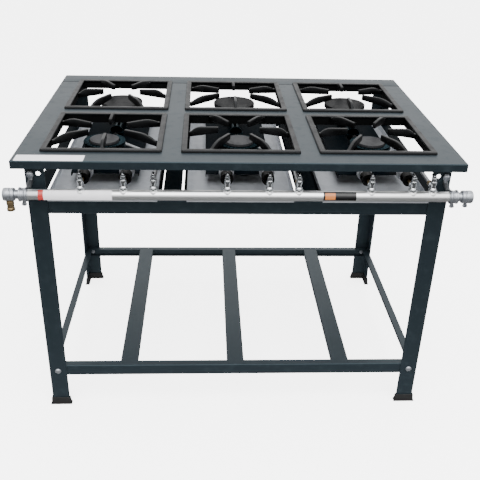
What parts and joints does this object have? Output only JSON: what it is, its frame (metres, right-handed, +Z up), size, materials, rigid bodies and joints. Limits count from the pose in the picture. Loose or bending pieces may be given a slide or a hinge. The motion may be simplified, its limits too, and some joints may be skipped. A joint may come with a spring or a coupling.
{
  "type": "industrial gas stove",
  "caption": "Free-standing gas stove on angle legs: folded steel top with lift-off cast grates over burners, front gas manifold with lever valves, pull-out drip trays and a slatted lower shelf.",
  "frame": {"origin": "on the floor under the middle of the whole stove's box", "axes": "+Z up, the cook stands at -Y, +X to the cook's right"},
  "size_m": [1.18, 0.8036, 0.812],
  "materials": {
    "dark_paint": "satin dark grey paint",
    "cast_iron": "raw black casting",
    "cap_metal": "machined grey cap",
    "galvanised": "bright galvanised sheet and pipe",
    "chrome": "plated valve",
    "brass": "turned brass",
    "aluminium_tube": "drawn tube",
    "black_shutter": "black enamel",
    "black_shoe": "moulded plastic",
    "zinc_steel": "zinc plated"
  },
  "bodies": {
    "stove_frame": {"burner_cross_bars": "dark_paint", "burner_plates": "dark_paint", "crown_burners": "cast_iron", "foot_shoes": "black_shoe", "frame_fasteners": "zinc_steel", "front_apron": "dark_paint", "gas_inlet_fitting": "brass", "gas_manifold": "galvanised", "injectors": "brass", "inner_burners": "cast_iron", "leg_front_left": "dark_paint", "leg_front_right": "dark_paint", "leg_rear_left": "dark_paint", "leg_rear_right": "dark_paint", "manifold_brackets": "zinc_steel", "manifold_end_caps": "zinc_steel", "rear_apron": "dark_paint", "rear_burners": "cast_iron", "rear_gas_lines": "aluminium_tube", "shelf_long_rails": "dark_paint", "shelf_side_rails": "dark_paint", "shelf_slats": "dark_paint", "side_aprons": "dark_paint", "top_cross_bars": "dark_paint", "top_front_bar": "dark_paint", "top_mid_bars": "dark_paint", "top_rear_bar": "dark_paint", "top_side_bars": "dark_paint", "tray_rails": "dark_paint", "valve_bodies": "chrome"},
    "air_shutter_left_crown": {"air_shutter_left_crown": "black_shutter"},
    "air_shutter_left_inner": {"air_shutter_left_inner": "black_shutter"},
    "air_shutter_middle_crown": {"air_shutter_middle_crown": "black_shutter"},
    "air_shutter_middle_inner": {"air_shutter_middle_inner": "black_shutter"},
    "air_shutter_right_crown": {"air_shutter_right_crown": "black_shutter"},
    "air_shutter_right_inner": {"air_shutter_right_inner": "black_shutter"},
    "cap_front_left": {"cap_front_left": "cap_metal"},
    "cap_front_middle": {"cap_front_middle": "cap_metal"},
    "cap_front_right": {"cap_front_right": "cap_metal"},
    "cap_rear_left": {"cap_rear_left": "cap_metal"},
    "cap_rear_middle": {"cap_rear_middle": "cap_metal"},
    "cap_rear_right": {"cap_rear_right": "cap_metal"},
    "drip_tray_left": {"drip_tray_left": "galvanised"},
    "drip_tray_middle": {"drip_tray_middle": "galvanised"},
    "drip_tray_right": {"drip_tray_right": "galvanised"},
    "grate_front_left": {"grate_front_left": "cast_iron"},
    "grate_front_middle": {"grate_front_middle": "cast_iron"},
    "grate_front_right": {"grate_front_right": "cast_iron"},
    "grate_rear_left": {"grate_rear_left": "cast_iron"},
    "grate_rear_middle": {"grate_rear_middle": "cast_iron"},
    "grate_rear_right": {"grate_rear_right": "cast_iron"},
    "valve_handle_left_crown": {"valve_handle_left_crown": "chrome"},
    "valve_handle_left_inner": {"valve_handle_left_inner": "chrome"},
    "valve_handle_left_rear": {"valve_handle_left_rear": "chrome"},
    "valve_handle_middle_crown": {"valve_handle_middle_crown": "chrome"},
    "valve_handle_middle_inner": {"valve_handle_middle_inner": "chrome"},
    "valve_handle_middle_rear": {"valve_handle_middle_rear": "chrome"},
    "valve_handle_right_crown": {"valve_handle_right_crown": "chrome"},
    "valve_handle_right_inner": {"valve_handle_right_inner": "chrome"},
    "valve_handle_right_rear": {"valve_handle_right_rear": "chrome"}
  },
  "joints": [
    {"name": "turn_valve_left_crown", "type": "hinge", "parent": "stove_frame", "child": "valve_handle_left_crown", "pos_m": [-0.4, -0.38417, 0.74795], "axis": [0, 0, 1], "range_deg": [0, 90]},
    {"name": "turn_shutter_left_crown", "type": "hinge", "parent": "stove_frame", "child": "air_shutter_left_crown", "pos_m": [-0.4, -0.34217, 0.73], "axis": [0, 1, 0], "range_deg": [0, 60]},
    {"name": "turn_valve_left_inner", "type": "hinge", "parent": "stove_frame", "child": "valve_handle_left_inner", "pos_m": [-0.294, -0.38417, 0.74795], "axis": [0, 0, 1], "range_deg": [0, 90]},
    {"name": "turn_shutter_left_inner", "type": "hinge", "parent": "stove_frame", "child": "air_shutter_left_inner", "pos_m": [-0.294, -0.34217, 0.73], "axis": [0, 1, 0], "range_deg": [0, 60]},
    {"name": "turn_valve_left_rear", "type": "hinge", "parent": "stove_frame", "child": "valve_handle_left_rear", "pos_m": [-0.22, -0.38417, 0.74795], "axis": [0, 0, 1], "range_deg": [0, 90]},
    {"name": "turn_valve_middle_crown", "type": "hinge", "parent": "stove_frame", "child": "valve_handle_middle_crown", "pos_m": [-0.036, -0.38417, 0.74795], "axis": [0, 0, 1], "range_deg": [0, 90]},
    {"name": "turn_shutter_middle_crown", "type": "hinge", "parent": "stove_frame", "child": "air_shutter_middle_crown", "pos_m": [-0.036, -0.34217, 0.73], "axis": [0, 1, 0], "range_deg": [0, 60]},
    {"name": "turn_valve_middle_inner", "type": "hinge", "parent": "stove_frame", "child": "valve_handle_middle_inner", "pos_m": [0.07, -0.38417, 0.74795], "axis": [0, 0, 1], "range_deg": [0, 90]},
    {"name": "turn_shutter_middle_inner", "type": "hinge", "parent": "stove_frame", "child": "air_shutter_middle_inner", "pos_m": [0.07, -0.34217, 0.73], "axis": [0, 1, 0], "range_deg": [0, 60]},
    {"name": "turn_valve_middle_rear", "type": "hinge", "parent": "stove_frame", "child": "valve_handle_middle_rear", "pos_m": [0.144, -0.38417, 0.74795], "axis": [0, 0, 1], "range_deg": [0, 90]},
    {"name": "turn_valve_right_crown", "type": "hinge", "parent": "stove_frame", "child": "valve_handle_right_crown", "pos_m": [0.328, -0.38417, 0.74795], "axis": [0, 0, 1], "range_deg": [0, 90]},
    {"name": "turn_shutter_right_crown", "type": "hinge", "parent": "stove_frame", "child": "air_shutter_right_crown", "pos_m": [0.328, -0.34217, 0.73], "axis": [0, 1, 0], "range_deg": [0, 60]},
    {"name": "turn_valve_right_inner", "type": "hinge", "parent": "stove_frame", "child": "valve_handle_right_inner", "pos_m": [0.434, -0.38417, 0.74795], "axis": [0, 0, 1], "range_deg": [0, 90]},
    {"name": "turn_shutter_right_inner", "type": "hinge", "parent": "stove_frame", "child": "air_shutter_right_inner", "pos_m": [0.434, -0.34217, 0.73], "axis": [0, 1, 0], "range_deg": [0, 60]},
    {"name": "turn_valve_right_rear", "type": "hinge", "parent": "stove_frame", "child": "valve_handle_right_rear", "pos_m": [0.485, -0.38417, 0.74795], "axis": [0, 0, 1], "range_deg": [0, 90]},
    {"name": "pull_tray_left", "type": "slide", "parent": "stove_frame", "child": "drip_tray_left", "axis": [0, -1, 0], "range_m": [0, 0.6]},
    {"name": "lift_grate_front_left", "type": "slide", "parent": "stove_frame", "child": "grate_front_left", "axis": [0, 0, 1], "range_m": [0, 0.12]},
    {"name": "lift_cap_front_left", "type": "slide", "parent": "stove_frame", "child": "cap_front_left", "axis": [0, 0, 1], "range_m": [0, 0.018]},
    {"name": "lift_grate_rear_left", "type": "slide", "parent": "stove_frame", "child": "grate_rear_left", "axis": [0, 0, 1], "range_m": [0, 0.12]},
    {"name": "lift_cap_rear_left", "type": "slide", "parent": "stove_frame", "child": "cap_rear_left", "axis": [0, 0, 1], "range_m": [0, 0.014]},
    {"name": "pull_tray_middle", "type": "slide", "parent": "stove_frame", "child": "drip_tray_middle", "axis": [0, -1, 0], "range_m": [0, 0.6]},
    {"name": "lift_grate_front_middle", "type": "slide", "parent": "stove_frame", "child": "grate_front_middle", "axis": [0, 0, 1], "range_m": [0, 0.12]},
    {"name": "lift_cap_front_middle", "type": "slide", "parent": "stove_frame", "child": "cap_front_middle", "axis": [0, 0, 1], "range_m": [0, 0.018]},
    {"name": "lift_grate_rear_middle", "type": "slide", "parent": "stove_frame", "child": "grate_rear_middle", "axis": [0, 0, 1], "range_m": [0, 0.12]},
    {"name": "lift_cap_rear_middle", "type": "slide", "parent": "stove_frame", "child": "cap_rear_middle", "axis": [0, 0, 1], "range_m": [0, 0.014]},
    {"name": "pull_tray_right", "type": "slide", "parent": "stove_frame", "child": "drip_tray_right", "axis": [0, -1, 0], "range_m": [0, 0.6]},
    {"name": "lift_grate_front_right", "type": "slide", "parent": "stove_frame", "child": "grate_front_right", "axis": [0, 0, 1], "range_m": [0, 0.12]},
    {"name": "lift_cap_front_right", "type": "slide", "parent": "stove_frame", "child": "cap_front_right", "axis": [0, 0, 1], "range_m": [0, 0.018]},
    {"name": "lift_grate_rear_right", "type": "slide", "parent": "stove_frame", "child": "grate_rear_right", "axis": [0, 0, 1], "range_m": [0, 0.12]},
    {"name": "lift_cap_rear_right", "type": "slide", "parent": "stove_frame", "child": "cap_rear_right", "axis": [0, 0, 1], "range_m": [0, 0.014]}
  ]
}
